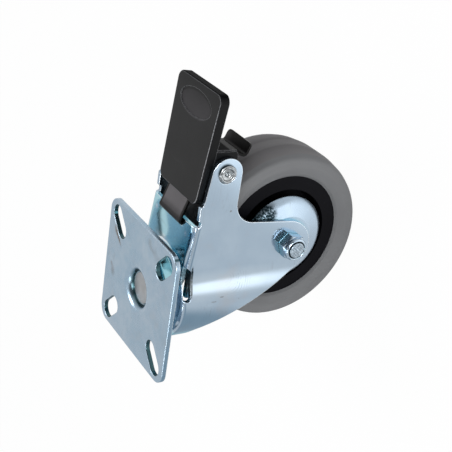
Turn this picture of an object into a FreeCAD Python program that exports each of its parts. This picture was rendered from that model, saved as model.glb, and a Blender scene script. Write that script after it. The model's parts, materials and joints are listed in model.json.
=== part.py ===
import FreeCAD, Part
import math
import os
import re
import Sketcher

# Swivel plate caster with a pressed steel fork, a moulded brake pedal and a spring steel brake strip.
# Frame: the origin is where the swivel axis meets the mounting face of the plate, +Z is the outward
# normal of that face, and +X points to the pedal and to the wheel's offset. Lengths are millimetres.

doc = FreeCAD.newDocument("Caster")
dim = doc.addObject("Spreadsheet::Sheet", "Dim")

SIZES = {
    # mounting plate
    "plateLength": 76.5, "plateWidth": 79, "plateThick": 2.5, "plateCorner": 8, "edgeRound": 0.5,
    "slotMargin": 7.9, "slotLength": 19.4, "slotWidth": 10,
    "dishRadius": 13, "dishFloorRadius": 9.6, "dishDepth": 4.7, "dishBlend": 4,
    # king pin and swivel races
    "pinHeadRadius": 8.8, "pinHeadHeight": 1.2, "kingPinRadius": 6, "peenHeight": 2.2,
    "ballRadius": 2.38, "ballPlay": 0.03, "grooveDepth": 0.8, "upperCircle": 19.5, "lowerCircle": 11.8,
    "raceThick": 2, "raceRadius": 16.6, "raceLip": 1.7,
    # pressed steel fork
    "sheet": 2.5, "legHalf": 24.2, "headRadius": 28, "brimDrop": 13, "brimRound": 3, "neckBlend": 16,
    "deckSlope": 5.9, "deckBend": 4, "deckFront": 46, "cupRadius": 22.8, "cupGap": 3.2, "cupFlare": 2,
    "webGap": 2.4, "webRadius": 14, "webHole": 8, "heelDrop": 22, "heelReach": 20.3, "heelRound": 14,
    "legEndRadius": 15.9, "legEndBack": 2.1, "legEndRise": 2.5, "throatX": 46.9, "throatDrop": 39.8,
    "throatRound": 12.7, "earRadius": 8.7, "earShoulder": 58.6, "earDrop": 20.3, "shoulderDrop": 18.4,
    "reliefWidth": 3.4, "reliefDrop": 19.9, "windowStart": 4, "windowEnd": 24, "windowDrop": 14.1,
    "windowHeight": 4.1, "windowInner": 21.6,
    # axle and wheel
    "axleOffset": 30, "axleDrop": 77.5, "boltRadius": 4, "boltPlay": 0.1, "acrossFlats": 13,
    "headHeight": 5.3, "nutTurn": 18, "nutHex": 5.4, "nutHeight": 8, "collarRadius": 6.5, "insertOuter": 5.2,
    "threadProud": 0.3, "wheelRadius": 50, "tyreHalf": 18.5, "shoulderRound": 5, "coreRadius": 36.2,
    "treadHalf": 13.9, "treadFall": 1.1,
    "coreHalf": 14.9, "sideSwell": 42, "rimRadius": 27.6, "webHalf": 3, "hubRadius": 13.8,
    "hubHalf": 19.2, "bearingRadius": 11, "bearingWidth": 7, "raceWall": 2, "wheelBallRadius": 1.98,
    "shieldThick": 0.4, "washerThick": 1, "washerRadius": 6, "guardThick": 1, "guardRadius": 25.6,
    "guardFlat": 15.2, "guardStep": 17.3, "guardSink": 0.7, "guardDepth": 5.7,
    # pedal and its pin, with the pedal's sizes taken from the pin along and across the pad
    "pivotX": 74.8, "pivotDrop": 31.1, "pivotRadius": 4, "pinFace": 4.95, "pinFaceThick": 0.9,
    "pinSink": 0.35, "pinPlay": 0.08, "dimpleRadius": 3.3, "dimpleDepth": 1.5, "pedalTilt": 5.3,
    "padTop": 12.75, "padInner": 19.2, "padOuter": 39.9, "padThick": 5.2, "padSkin": 1.6, "padWall": 2,
    "padHalfInner": 20.5, "padHalfOuter": 22.6, "padCorner": 4.5, "padRound": 1, "ovalX": 28.9,
    "ovalHalfX": 6.9, "ovalHalfY": 16.2, "ovalDepth": 0.5, "cheekHalf": 20.9, "cheekThick": 2.2,
    "cheekFront": 11.6, "cheekBack": 11, "cheekLow": 5, "hubBoss": 7, "pushBack": 10.2, "pushFront": 12,
    # brake strip, with its path along the outer face
    "stripThick": 1.2, "stripHalf": 11.5, "stripSide": 0.9, "lipX": 42.9, "lipPlay": 0.35, "lipDrop": 18.4,
    "crestDrop": 13.4, "crestRound": 2, "rootX": 57.1, "rootDrop": 18.7, "rootRound": 12, "middleX": 70.1,
    "middleDrop": 21, "middleRound": 40, "noseX": 86.6, "noseDrop": 23.05, "noseRound": 7, "bandX": 82.1,
    "bandDrop": 40.1, "bandRound": 40, "shoeX": 79.1, "shoeDrop": 48.2, "shoeRound": 1.4, "tabX": 85.2,
    "tabDrop": 50.8, "tabCorner": 2.5,
}
names = set()
spare = "D1"


def addCell(alias, content):
    names.add(alias)
    dim.set("A%d" % len(names), alias)
    dim.set("B%d" % len(names), content)
    dim.setAlias("B%d" % len(names), alias)


for alias, value in SIZES.items():
    addCell(alias, str(value))


def derive(alias, formula):
    """Adds a cell that is worked out from the driving ones."""
    addCell(alias, "=" + formula)
    dim.recompute()


derive("plateBottom", "-plateThick")
derive("slotEnd", "(min(plateLength; plateWidth) / 2 - slotMargin) * sqrt(2)")
derive("dishFloor", "-dishDepth")
derive("dishUnder", "dishFloor - plateThick")
derive("upperBallZ", "plateBottom - ballRadius + grooveDepth")
derive("cupTop", "plateBottom - cupGap")
derive("webTop", "dishUnder - webGap")
derive("webUnder", "webTop - sheet")
derive("lowerBallZ", "webUnder - ballRadius + grooveDepth")
derive("raceTop", "lowerBallZ - ballRadius + grooveDepth")
derive("raceUnder", "raceTop - raceThick")
derive("legInner", "legHalf - sheet")
derive("axleZ", "-axleDrop")
derive("pivotZ", "-pivotDrop")
derive("blendX", "sqrt((headRadius + neckBlend)^2 - (legHalf + neckBlend)^2)")
derive("neckX", "blendX * headRadius / (headRadius + neckBlend)")
derive("forkLow", "-axleDrop - 2 * legEndRadius")
derive("boltHole", "boltRadius + boltPlay")
derive("washerFace", "legInner - guardThick")
derive("bearingFace", "washerFace - washerThick")
derive("bearingBack", "bearingFace - bearingWidth")
derive("bearingMiddle", "bearingFace - bearingWidth / 2")
derive("ballRing", "(boltRadius + bearingRadius) / 2")
derive("innerRaceRadius", "boltRadius + raceWall")
derive("outerRaceRadius", "bearingRadius - raceWall")
derive("padUnder", "padTop - padThick")
derive("stripRoom", "stripHalf + stripSide")
derive("pinOuter", "legHalf - pinSink")
derive("pinInner", "pinOuter - pinFaceThick")
doc.recompute()


def val(formula):
    """The number that a formula of named sizes comes to, read from the sheet's spare cell."""
    dim.set(spare, "=" + formula)
    dim.recompute()
    dim.purgeTouched()
    return float(dim.get(spare))


def bound(formula):
    """The same formula as other objects write it."""
    return re.sub(r"[A-Za-z]\w*", lambda m: "Dim." + m[0] if m[0] in names else m[0], formula)


def newBody(label, x="0", y="0", z="0", axis=None, turn="0"):
    body = doc.addObject("PartDesign::Body", label)
    body.Label = label
    if axis:
        body.Placement.Rotation = FreeCAD.Rotation(FreeCAD.Vector(*axis), val(turn))
        body.setExpression("Placement.Rotation.Angle", bound(turn))
    for letter, formula in (("x", x), ("y", y), ("z", z)):
        if formula != "0":
            body.setExpression("Placement.Base." + letter, bound(formula))
    return body


def newSketch(body, name, role, lift="0", turn=None):
    """A sketch on one of the body's own planes; turn is an axis of the plane and an angle."""
    sketch = body.newObject("Sketcher::SketchObject", name)
    plane = [f for f in body.Origin.OriginFeatures if f.Role == role][0]
    sketch.AttachmentSupport = [(plane, "")]
    sketch.MapMode = "FlatFace"
    if turn:
        sketch.AttachmentOffset = FreeCAD.Placement(
            FreeCAD.Vector(), FreeCAD.Rotation(FreeCAD.Vector(*turn[0]), val(turn[1])))
        sketch.setExpression("AttachmentOffset.Rotation.Angle", bound(turn[1]))
    if lift != "0":
        sketch.setExpression("AttachmentOffset.Base.z", bound(lift))
    doc.recompute()
    return sketch


def pin(sketch, geo, pos, x, y):
    """Ties one point of a sketch to its two coordinates."""
    for kind, axis, formula in (("DistanceX", -2, x), ("DistanceY", -1, y)):
        if formula == "0":
            sketch.addConstraint(Sketcher.Constraint("PointOnObject", geo, pos, axis))
        else:
            i = sketch.addConstraint(Sketcher.Constraint(kind, -1, 1, geo, pos, val(formula)))
            sketch.setExpression("Constraints[%d]" % i, bound(formula))


def ring(sketch, x, y, radius):
    geo = sketch.addGeometry(Part.Circle(FreeCAD.Vector(val(x), val(y), 0),
                                         FreeCAD.Vector(0, 0, 1), val(radius)))
    pin(sketch, geo, 3, x, y)
    i = sketch.addConstraint(Sketcher.Constraint("Radius", geo, val(radius)))
    sketch.setExpression("Constraints[%d]" % i, bound(radius))


def touch(centre, radius, point, arriving):
    """Where a line from or to a point touches a circle that lies on its left."""
    away = point - centre
    swing = math.acos(radius / away.Length)
    turn = swing if arriving else -swing
    angle = math.atan2(away.y, away.x) + turn
    return centre + FreeCAD.Vector(math.cos(angle), math.sin(angle), 0) * radius


def outline(sketch, nodes, closed=True):
    """Lines through nodes taken counter-clockwise. A node is (x, y), or (x, y, r) with the corner
    rounded, or (x, y, r, "arc") for an arc of that radius about it that both its lines touch."""
    spots = [FreeCAD.Vector(val(n[0]), val(n[1]), 0) for n in nodes]
    count = len(nodes)
    lines = []
    for i in range(count if closed else count - 1):
        j = (i + 1) % count
        start, end = spots[i], spots[j]
        if len(nodes[i]) == 4:
            start = touch(spots[i], val(nodes[i][2]), spots[j], False)
        if len(nodes[j]) == 4:
            end = touch(spots[j], val(nodes[j][2]), start, True)
        lines.append([start, end])
    arcs = {}
    for i, node in enumerate(nodes):
        if len(node) < 3 or (not closed and i in (0, count - 1)):
            continue
        before, after = lines[i - 1], lines[i]
        radius = val(node[2])
        into = (before[1] - before[0]).normalize()
        out = (after[1] - after[0]).normalize()
        left = into.x * out.y - into.y * out.x > 0
        if len(node) == 3:
            trim = radius * math.tan(into.getAngle(out) / 2)
            before[1] = before[1] - into * trim
            after[0] = after[0] + out * trim
            side = FreeCAD.Vector(-into.y, into.x, 0) * (radius if left else -radius)
            arcs[i] = (before[1] + side, radius, left)
        else:
            arcs[i] = (spots[i], radius, True)
    geos = [sketch.addGeometry(Part.LineSegment(a, b)) for a, b in lines]
    for i, node in enumerate(nodes):
        last = geos[i - 1] if closed or i else None
        following = geos[i] if i < len(geos) else None
        if i not in arcs:
            if last is not None and following is not None:
                sketch.addConstraint(Sketcher.Constraint("Coincident", last, 2, following, 1))
            end = (following, 1) if following is not None else (last, 2)
            pin(sketch, end[0], end[1], node[0], node[1])
            continue
        centre, radius, left = arcs[i]
        first, second = lines[i - 1][1] - centre, lines[i][0] - centre
        a0, a1 = math.atan2(first.y, first.x), math.atan2(second.y, second.x)
        if not left:
            a0, a1 = a1, a0
        circle = Part.Circle(centre, FreeCAD.Vector(0, 0, 1), radius)
        arc = sketch.addGeometry(Part.ArcOfCircle(circle, a0, a1 if a1 > a0 else a1 + 2 * math.pi))
        sketch.addConstraint(Sketcher.Constraint("Tangent", last, 2, arc, 1 if left else 2))
        sketch.addConstraint(Sketcher.Constraint("Tangent", arc, 2 if left else 1, following, 1))
        k = sketch.addConstraint(Sketcher.Constraint("Radius", arc, radius))
        sketch.setExpression("Constraints[%d]" % k, bound(node[2]))
        if len(node) == 4:
            pin(sketch, arc, 3, node[0], node[1])
        else:
            corner = sketch.addGeometry(Part.Point(spots[i]), True)
            pin(sketch, corner, 1, node[0], node[1])
            sketch.addConstraint(Sketcher.Constraint("PointOnObject", corner, 1, last))
            sketch.addConstraint(Sketcher.Constraint("PointOnObject", corner, 1, following))


def extrude(kind, body, sketch, length, symmetric=False, reverse=False):
    feature = body.newObject("PartDesign::" + kind, sketch.Name + kind)
    feature.Profile = sketch
    feature.SideType = "Symmetric" if symmetric else "One side"
    feature.Reversed = reverse
    feature.setExpression("Length", bound(length))
    doc.recompute()
    return feature


def spin(kind, body, sketch):
    """Turns a sketch a full circle about its own vertical axis."""
    feature = body.newObject("PartDesign::" + kind, sketch.Name + kind)
    feature.Profile = sketch
    feature.ReferenceAxis = (sketch, ["V_Axis"])
    feature.Angle = 360
    doc.recompute()
    return feature


def repeat(body, feature, sketch, occurrences):
    """Copies a feature round the normal of its sketch's plane."""
    pattern = body.newObject("PartDesign::PolarPattern", feature.Name + "Ring")
    pattern.Originals = [feature]
    pattern.Axis = (sketch, ["N_Axis"])
    pattern.Angle = 360
    pattern.Occurrences = occurrences
    body.Tip = pattern
    doc.recompute()
    return pattern


def soften(body, feature, radius, wanted):
    """Rounds the edges that a test picks out."""
    edges = ["Edge%d" % (i + 1) for i, e in enumerate(feature.Shape.Edges) if wanted(e)]
    fillet = body.newObject("PartDesign::Fillet", feature.Name + "Soft")
    fillet.Base = (feature, edges)
    fillet.setExpression("Radius", bound(radius))
    doc.recompute()
    return fillet


def solidGroup(label, shapes):
    group = doc.addObject("Part::Feature", label)
    group.Label = label
    group.Shape = Part.makeCompound(shapes)
    return group


def atHeight(z):
    return lambda edge: all(abs(v.Z - z) < 1e-4 for v in edge.Vertexes)


def makeTopPlate():
    body = newBody("top_plate")
    face = newSketch(body, "PlateFace", "XY_Plane")
    x, y, r = "plateLength / 2", "plateWidth / 2", "plateCorner"
    outline(face, [("-" + x, "-" + y, r), (x, "-" + y, r), (x, y, r), ("-" + x, y, r)])
    extrude("Pad", body, face, "plateThick", reverse=True)
    under = newSketch(body, "DishUnder", "XZ_Plane")
    outline(under, [("0", "dishUnder"), ("dishFloorRadius + plateThick * 0.6", "dishUnder", "1.5"),
                    ("dishRadius + plateThick * 0.6", "plateBottom"),
                    ("dishRadius + plateThick * 0.6", "plateBottom / 2"), ("0", "plateBottom / 2")])
    spin("Revolution", body, under)
    dish = newSketch(body, "Dish", "XZ_Plane")
    outline(dish, [("0", "dishFloor"), ("dishFloorRadius", "dishFloor", "1.2"), ("dishRadius - 2.6", "-0.8", "4"),
                   ("dishRadius + 1.2", "0"), ("dishRadius + 1.2", "1"), ("0", "1")])
    spin("Groove", body, dish)
    hole = newSketch(body, "PinHole", "XY_Plane")
    ring(hole, "0", "0", "kingPinRadius")
    extrude("Pocket", body, hole, "4 * dishDepth", symmetric=True)
    track = newSketch(body, "UpperTrack", "XZ_Plane")
    ring(track, "upperCircle", "upperBallZ", "ballRadius + ballPlay")
    spin("Groove", body, track)
    slot = newSketch(body, "Slot", "XY_Plane", turn=((0, 0, 1), "45"))
    centreSlot(slot, "slotEnd - slotLength + slotWidth", "slotEnd", "slotWidth / 2")
    cut = extrude("Pocket", body, slot, "4 * plateThick", symmetric=True)
    slots = repeat(body, cut, slot, 4)
    soften(body, slots, "edgeRound", atHeight(0))


def centreSlot(sketch, a, b, radius):
    """A round-ended slot along the sketch's horizontal axis."""
    xa, xb, r = val(a), val(b), val(radius)
    up, half = FreeCAD.Vector(0, 0, 1), math.pi / 2
    ends = [Part.ArcOfCircle(Part.Circle(FreeCAD.Vector(xb, 0, 0), up, r), -half, half),
            Part.ArcOfCircle(Part.Circle(FreeCAD.Vector(xa, 0, 0), up, r), half, 3 * half)]
    right, left = [sketch.addGeometry(e) for e in ends]
    top = sketch.addGeometry(Part.LineSegment(FreeCAD.Vector(xb, r, 0), FreeCAD.Vector(xa, r, 0)))
    low = sketch.addGeometry(Part.LineSegment(FreeCAD.Vector(xa, -r, 0), FreeCAD.Vector(xb, -r, 0)))
    for first, p, second, q in ((right, 2, top, 1), (top, 2, left, 1), (left, 2, low, 1), (low, 2, right, 1)):
        sketch.addConstraint(Sketcher.Constraint("Tangent", first, p, second, q))
    pin(sketch, right, 3, b, "0")
    pin(sketch, left, 3, a, "0")
    i = sketch.addConstraint(Sketcher.Constraint("Radius", right, r))
    sketch.setExpression("Constraints[%d]" % i, bound(radius))


def makeTurned(label, nodes, x="0", y="0", z="0", role="XZ_Plane", flip=False):
    """A turned piece: its half section spun round the vertical axis of the sketch."""
    body = newBody(label, x, y, z, (0, 0, 1) if flip else None, "180" if flip else "0")
    half = newSketch(body, label + "Section", role)
    outline(half, nodes)
    spin("Revolution", body, half)
    return body


def ballCircle(label, circle, z, radius, count, centre=(0, 0, 0), axle=False):
    """Loose balls evenly spaced round a circle."""
    balls = []
    for i in range(count):
        angle = 2 * math.pi * i / count
        u, v = circle * math.cos(angle), circle * math.sin(angle)
        spot = FreeCAD.Vector(u, z, v) if axle else FreeCAD.Vector(u, v, z)
        balls.append(Part.makeSphere(radius, spot + FreeCAD.Vector(*centre)))
    return solidGroup(label, balls)


def makeSwivel():
    """King pin, two circles of balls and the lower race."""
    top = "dishFloor + pinHeadHeight"
    makeTurned("king_pin", [
        ("0", "raceUnder - peenHeight"), ("pinHeadRadius - 1", "raceUnder - peenHeight", "1.2"),
        ("pinHeadRadius", "raceUnder"), ("kingPinRadius", "raceUnder"), ("kingPinRadius", "dishFloor"),
        ("pinHeadRadius", "dishFloor"), ("pinHeadRadius", top, "0.4"), ("0", top)])
    race = makeTurned("lower_race", [
        ("kingPinRadius", "raceUnder"), ("raceRadius", "raceUnder", "2.6"),
        ("raceRadius", "raceTop + raceLip"), ("raceRadius - raceThick", "raceTop + raceLip"),
        ("raceRadius - raceThick", "raceTop", "0.6"), ("kingPinRadius", "raceTop")])
    track = newSketch(race, "LowerTrack", "XZ_Plane")
    ring(track, "lowerCircle", "lowerBallZ", "ballRadius + ballPlay")
    spin("Groove", race, track)
    ballRadius = val("ballRadius")
    for label, circle, z in (("upper_balls", "upperCircle", "upperBallZ"),
                             ("lower_balls", "lowerCircle", "lowerBallZ")):
        count = int(2 * math.pi * val(circle) / (ballRadius * 2.6))
        ballCircle(label, val(circle), val(z), ballRadius, count)


def neckPlan(sketch, inset):
    """Plan of the legs and deck from the point where their blend leaves the round head."""
    radius, half, blend = "headRadius - " + inset, "legHalf - " + inset, "neckBlend + " + inset
    startX = "(%s) * blendX / (headRadius + neckBlend)" % radius
    startY = "(%s) * (legHalf + neckBlend) / (headRadius + neckBlend)" % radius
    front, centreY = "pivotX + 2 * earRadius", "legHalf + neckBlend"
    up = FreeCAD.Vector(0, 0, 1)
    sx, sy, bx, by = val(startX), val(startY), val("blendX"), val(centreY)
    fx, hy, br = val(front), val(half), val(blend)
    low = math.atan2(sy - by, sx - bx)
    upper = Part.ArcOfCircle(Part.Circle(FreeCAD.Vector(bx, by, 0), up, br), low + 2 * math.pi, 1.5 * math.pi)
    lower = Part.ArcOfCircle(Part.Circle(FreeCAD.Vector(bx, -by, 0), up, br), math.pi / 2, -low)
    a, b = sketch.addGeometry(upper), sketch.addGeometry(lower)
    lines = [((bx, hy), (fx, hy)), ((fx, hy), (fx, -hy)), ((fx, -hy), (bx, -hy)), ((sx, -sy), (sx, sy))]
    far, end, near, back = [sketch.addGeometry(Part.LineSegment(
        FreeCAD.Vector(*p, 0), FreeCAD.Vector(*q, 0))) for p, q in lines]
    sketch.addConstraint(Sketcher.Constraint("Tangent", a, 2, far, 1))
    sketch.addConstraint(Sketcher.Constraint("Coincident", far, 2, end, 1))
    sketch.addConstraint(Sketcher.Constraint("Coincident", end, 2, near, 1))
    sketch.addConstraint(Sketcher.Constraint("Tangent", near, 2, b, 1))
    sketch.addConstraint(Sketcher.Constraint("Coincident", b, 2, back, 1))
    sketch.addConstraint(Sketcher.Constraint("Coincident", back, 2, a, 1))
    pin(sketch, a, 3, "blendX", centreY)
    pin(sketch, b, 3, "blendX", "-(%s)" % centreY)
    pin(sketch, far, 2, front, half)
    pin(sketch, end, 2, front, "-(%s)" % half)
    i = sketch.addConstraint(Sketcher.Constraint("DistanceX", -1, 1, back, 1, sx))
    sketch.setExpression("Constraints[%d]" % i, bound(startX))
    sketch.addConstraint(Sketcher.Constraint("Vertical", back))


def forkEnvelope(label, inset):
    """The fork's outer form, or its inner one when inset by the sheet: a round head whose sides
    blend into two flat walls under a deck that slopes to the front."""
    body = newBody(label)
    plan = newSketch(body, label + "Plan", "XY_Plane", "-brimDrop + 2")
    neckPlan(plan, inset)
    extrude("Pad", body, plan, "-forkLow - brimDrop + 2", reverse=True)
    slope = newSketch(body, label + "Slope", "XZ_Plane")
    height = "-brimDrop - %s / cos(deckSlope)" % inset
    outline(slope, [("0", height + " + neckX * tan(deckSlope)"),
                    ("2 * pivotX", height + " - (2 * pivotX - neckX) * tan(deckSlope)"),
                    ("2 * pivotX", "0"), ("0", "0")])
    cut = extrude("Pocket", body, slope, "4 * headRadius", symmetric=True)
    top, fall = val(height), math.tan(math.radians(val("deckSlope")))
    startX = val("neckX")

    def onDeck(edge):
        ends = [v.Point for v in edge.Vertexes]
        level = all(abs(e.z - top + (e.x - startX) * fall) < 1e-3 for e in ends)
        return level and abs(ends[0].x - ends[-1].x) > 1e-3

    soften(body, cut, "deckBend - " + inset, onDeck)
    head = newSketch(body, label + "Head", "XZ_Plane")
    radius, brim = "headRadius - " + inset, "-brimDrop - " + inset
    outline(head, [("0", "forkLow"), (radius, "forkLow"), (radius, brim, "brimRound + 0.1 - " + inset),
                   ("0", brim)])
    spin("Revolution", body, head)
    return body


def makeFork():
    outer, inner = forkEnvelope("ForkOuter", "0"), forkEnvelope("ForkInner", "sheet")
    shell = doc.addObject("Part::Cut", "ForkShell")
    shell.Base, shell.Tool = outer, inner
    doc.recompute()
    body = newBody("swivel_fork")
    body.BaseFeature = shell
    doc.recompute()
    bore = newSketch(body, "HeadBore", "XY_Plane")
    ring(bore, "0", "0", "cupRadius - sheet / 2")
    extrude("Pocket", body, bore, "4 * brimDrop", symmetric=True)
    cup = newSketch(body, "Cup", "XZ_Plane")
    foot, rise = "cupRadius + cupFlare", "webRadius + sheet"
    outline(cup, [
        ("webHole", "webUnder"), (rise, "webUnder", "0.8"), (rise + " + 0.6", "cupTop - sheet", "0.5"),
        ("cupRadius - sheet", "cupTop - sheet", "0.5"), ("cupRadius - sheet + 0.6", "-brimDrop - sheet", "0.8"),
        (foot, "-brimDrop - sheet"), (foot, "-brimDrop"), ("cupRadius + 0.6", "-brimDrop", "1.2"),
        ("cupRadius", "cupTop", "1.8"), ("webRadius + 0.6", "cupTop", "1.6"), ("webRadius", "webTop", "0.6"),
        ("webHole", "webTop")])
    spin("Revolution", body, cup)
    for name, circle, z in (("CupTrack", "upperCircle", "upperBallZ"), ("WebTrack", "lowerCircle", "lowerBallZ")):
        track = newSketch(body, name, "XZ_Plane")
        ring(track, circle, z, "ballRadius")
        spin("Groove", body, track)
    for name, sign in (("Near", ""), ("Far", "-")):
        ear = newSketch(body, "Ear" + name, "XZ_Plane", sign + "legInner")
        root, tip = "deckFront + reliefWidth / 2", "pivotX + earRadius + 1"
        outline(ear, [(root, "-throatDrop"), (tip, "-throatDrop"), (tip, "-brimDrop"), (root, "-brimDrop")])
        extrude("Pad", body, ear, "sheet", reverse=sign == "-")
    bay = newSketch(body, "PedalBay", "XY_Plane")
    ahead = "pivotX + 3 * earRadius"
    outline(bay, [("deckFront", "-legInner"), (ahead, "-legInner"), (ahead, "legInner"), ("deckFront", "legInner")])
    extrude("Pocket", body, bay, "4 * throatDrop", symmetric=True)
    side = newSketch(body, "SideTrim", "XZ_Plane")
    far, front = "2 * pivotX + axleDrop", "deckFront"
    outline(side, [("-(%s)" % far, "-(%s)" % far), (far, "-(%s)" % far), (far, far), ("-(%s)" % far, far)])
    outline(side, [
        (front, "plateBottom"), ("-2 * headRadius", "plateBottom"), ("-2 * headRadius", "-heelDrop"),
        ("-heelReach", "-heelDrop", "heelRound"),
        ("axleOffset - legEndBack", "axleZ + legEndRise", "legEndRadius", "arc"),
        ("throatX", "-throatDrop", "throatRound"), ("pivotX", "pivotZ", "earRadius", "arc"),
        ("earShoulder", "-earDrop", "1"), ("earShoulder - 1.4", "-shoulderDrop", "1"),
        (front + " + reliefWidth", "-shoulderDrop", "0.6"), (front + " + reliefWidth", "-reliefDrop", "0.8"),
        (front, "-reliefDrop", "0.8")])
    extrude("Pocket", body, side, "4 * headRadius", symmetric=True)
    holes = newSketch(body, "Bores", "XZ_Plane")
    ring(holes, "axleOffset", "axleZ", "boltHole")
    ring(holes, "pivotX", "pivotZ", "pivotRadius + pinPlay")
    extrude("Pocket", body, holes, "4 * legHalf", symmetric=True)
    for name, sign in (("Near", ""), ("Far", "-")):
        seat = newSketch(body, "PinSeat" + name, "XZ_Plane", sign + "pinInner")
        ring(seat, "pivotX", "pivotZ", "pinFace + pinPlay")
        extrude("Pocket", body, seat, "2 * sheet", reverse=sign == "")
        window = newSketch(body, "Window" + name, "XZ_Plane", sign + "windowInner")
        low, high = "-windowDrop - windowHeight", "-windowDrop"
        outline(window, [("windowStart", low, "1.6"), ("windowEnd - 3", low, "1.6"), ("windowEnd", high, "1"),
                         ("windowStart + 1", high, "1")])
        extrude("Pocket", body, window, "headRadius", reverse=sign == "")
    lip = newSketch(body, "LipSlot", "XY_Plane")
    half = "stripHalf + lipPlay"
    back, fore = "lipX - stripThick / 2 - lipPlay", "lipX + stripThick / 2 + lipPlay"
    outline(lip, [(back, "-(%s)" % half), (fore, "-(%s)" % half), (fore, half), (back, half)])
    extrude("Pocket", body, lip, "4 * brimDrop", symmetric=True)


def makeStrip():
    """The sheet follows the path of its outer face, and its thickness lies inside."""
    path = doc.addObject("Sketcher::SketchObject", "StripPath")
    path.Placement.Rotation = FreeCAD.Rotation(FreeCAD.Vector(1, 0, 0), 90)
    back = "lipX - stripThick / 2"
    outline(path, [
        (back, "-lipDrop"), (back, "-crestDrop", "crestRound"), ("rootX", "-rootDrop", "rootRound"),
        ("middleX", "-middleDrop", "middleRound"), ("noseX", "-noseDrop", "noseRound"),
        ("bandX", "-bandDrop", "bandRound"), ("shoeX", "-shoeDrop", "shoeRound"), ("tabX", "-tabDrop")],
        closed=False)
    doc.recompute()
    band = doc.addObject("Part::Offset2D", "StripBand")
    band.Source = path
    band.Mode = "Skin"
    band.Fill = True
    band.setExpression("Value", bound("-stripThick"))
    doc.recompute()
    sheet = doc.addObject("Part::Extrusion", "StripSheet")
    sheet.Base = band
    sheet.DirMode = "Custom"
    sheet.Dir = FreeCAD.Vector(0, 1, 0)
    sheet.Symmetric = True
    sheet.Solid = True
    sheet.setExpression("LengthFwd", bound("2 * stripHalf"))
    doc.recompute()
    body = newBody("brake_strip")
    body.BaseFeature = sheet
    doc.recompute()
    tabX = val("tabX")

    def tabCorner(edge):
        flat = max(v.Point.y for v in edge.Vertexes) - min(v.Point.y for v in edge.Vertexes) < 1e-6
        return flat and edge.Length < 2 * val("stripThick") and all(v.X > tabX - 1 for v in edge.Vertexes)

    soften(body, body.Tip, "tabCorner", tabCorner)


def makePedal():
    body = newBody("brake_pedal", x="pivotX", z="pivotZ", axis=(0, 1, 0), turn="pedalTilt")
    inner, outer, corner = "padHalfInner", "padHalfOuter", "padCorner"
    pad = newSketch(body, "Pad", "XY_Plane", "padTop")
    outline(pad, [("-padInner", "-" + inner, corner), ("padOuter", "-" + outer, corner),
                  ("padOuter", outer, corner), ("-padInner", inner, corner)])
    block = extrude("Pad", body, pad, "padThick", reverse=True)
    soften(body, block, "padRound", atHeight(val("padTop")))
    hollow = newSketch(body, "Hollow", "XY_Plane", "padUnder")
    room, less = "padThick - padSkin", " - padWall"
    small = corner + less
    outline(hollow, [("-padInner + padWall", "-(%s)" % (inner + less), small),
                     ("padOuter" + less, "-(%s)" % (outer + less), small),
                     ("padOuter" + less, outer + less, small), ("-padInner + padWall", inner + less, small)])
    extrude("Pocket", body, hollow, room, reverse=True)
    mouth = newSketch(body, "Mouth", "XY_Plane", "padUnder")
    outline(mouth, [("-padInner - 1", "-stripRoom"), ("-padInner + padWall + 1", "-stripRoom"),
                    ("-padInner + padWall + 1", "stripRoom"), ("-padInner - 1", "stripRoom")])
    extrude("Pocket", body, mouth, room, reverse=True)
    cheek = newSketch(body, "Cheek", "XZ_Plane", "cheekHalf")
    top = "padUnder + 1"
    outline(cheek, [("-cheekBack", top), ("0", "0", "hubBoss + 0.7", "arc"), ("cheekFront", "-cheekLow", "2"),
                    ("cheekFront - 1.2", top)])
    cheekPad = extrude("Pad", body, cheek, "cheekThick", reverse=True)
    boss = newSketch(body, "Boss", "XZ_Plane", "cheekHalf")
    ring(boss, "0", "0", "hubBoss")
    bossPad = extrude("Pad", body, boss, "cheekHalf - stripRoom", reverse=True)
    pair = body.newObject("PartDesign::Mirrored", "BothCheeks")
    pair.Originals = [cheekPad, bossPad]
    pair.MirrorPlane = ([f for f in body.Origin.OriginFeatures if f.Role == "XZ_Plane"][0], [""])
    body.Tip = pair
    doc.recompute()
    wall = newSketch(body, "PushWall", "XZ_Plane")
    outline(wall, [("pushBack", "-cheekLow"), ("pushFront", "-cheekLow", "0.5"),
                   ("pushFront - 1", "padTop - padSkin / 2"), ("pushBack", "padTop - padSkin / 2")])
    extrude("Pad", body, wall, "2 * cheekHalf - cheekThick", symmetric=True)
    bore = newSketch(body, "PivotBore", "XZ_Plane")
    ring(bore, "0", "0", "pivotRadius + pinPlay")
    extrude("Pocket", body, bore, "4 * cheekHalf", symmetric=True)
    oval = newSketch(body, "Oval", "XY_Plane", "padTop")
    ovalRing(oval, "ovalX", "ovalHalfX", "ovalHalfY")
    extrude("Pocket", body, oval, "ovalDepth")


def ovalRing(sketch, x, halfX, halfY):
    """An ellipse on the sketch's horizontal axis, longer across it."""
    cx, a, b = val(x), val(halfX), val(halfY)
    centre = FreeCAD.Vector(cx, 0, 0)
    geo = sketch.addGeometry(Part.Ellipse(FreeCAD.Vector(cx, b, 0), FreeCAD.Vector(cx - a, 0, 0), centre))
    sketch.exposeInternalGeometry(geo)
    pin(sketch, geo, 3, x, "0")
    for line, target in ((geo + 1, FreeCAD.Vector(cx, b, 0)), (geo + 2, FreeCAD.Vector(cx + a, 0, 0))):
        ends = [sketch.getPoint(line, 1), sketch.getPoint(line, 2)]
        near = 1 if (ends[0] - target).Length < (ends[1] - target).Length else 2
        if line == geo + 1:
            pin(sketch, line, near, x, halfY)
        else:
            i = sketch.addConstraint(Sketcher.Constraint("DistanceX", -1, 1, line, near, cx + a))
            sketch.setExpression("Constraints[%d]" % i, bound(x + " + " + halfX))


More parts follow.
